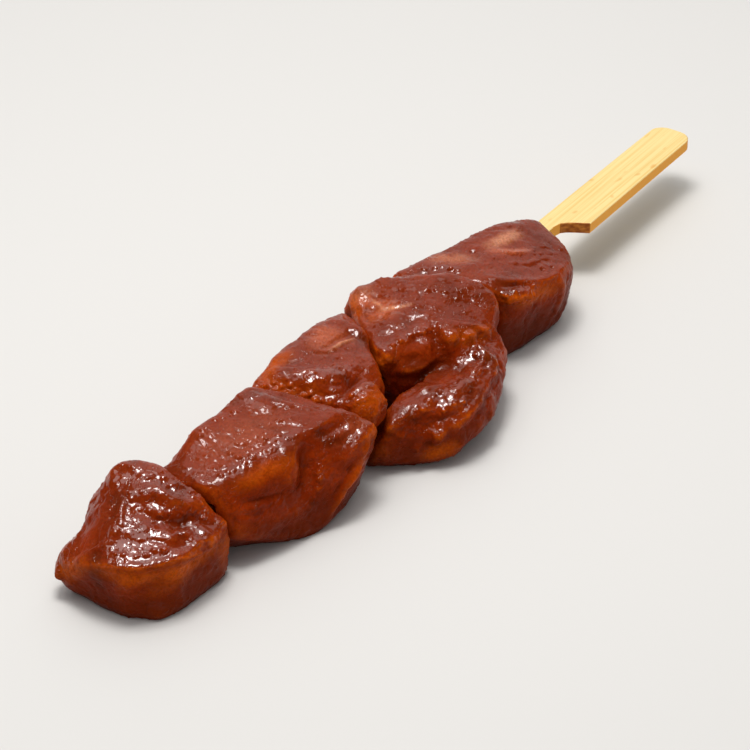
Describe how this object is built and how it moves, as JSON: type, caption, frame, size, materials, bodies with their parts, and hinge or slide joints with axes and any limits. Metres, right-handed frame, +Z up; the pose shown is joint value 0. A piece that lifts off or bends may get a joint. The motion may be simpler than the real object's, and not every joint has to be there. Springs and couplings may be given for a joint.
{
  "type": "pork satay skewer",
  "caption": "Marinated pork chunks threaded on a flat bamboo skewer with a paddle handle, lying on a surface.",
  "frame": {"origin": "on the surface the skewer lies on, under the middle of its whole outline", "axes": "+X along the skewer from its hidden point to the end of the paddle, +Z up from the surface, +Y across towards the side where the paddle is level with the stick"},
  "size_m": [0.1956, 0.0426, 0.0219],
  "materials": {
    "bamboo": "pale planed bamboo with fine lengthwise grain and a few brown flecks, darker on the cut edges",
    "pork": "wet, glossy dark red-brown marinade on raw pork, more orange at thin edges"
  },
  "bodies": {
    "root": {"bamboo_skewer": "bamboo", "meat_1": "pork", "meat_2": "pork", "meat_3": "pork", "meat_4": "pork", "meat_5": "pork"}
  },
  "joints": []
}
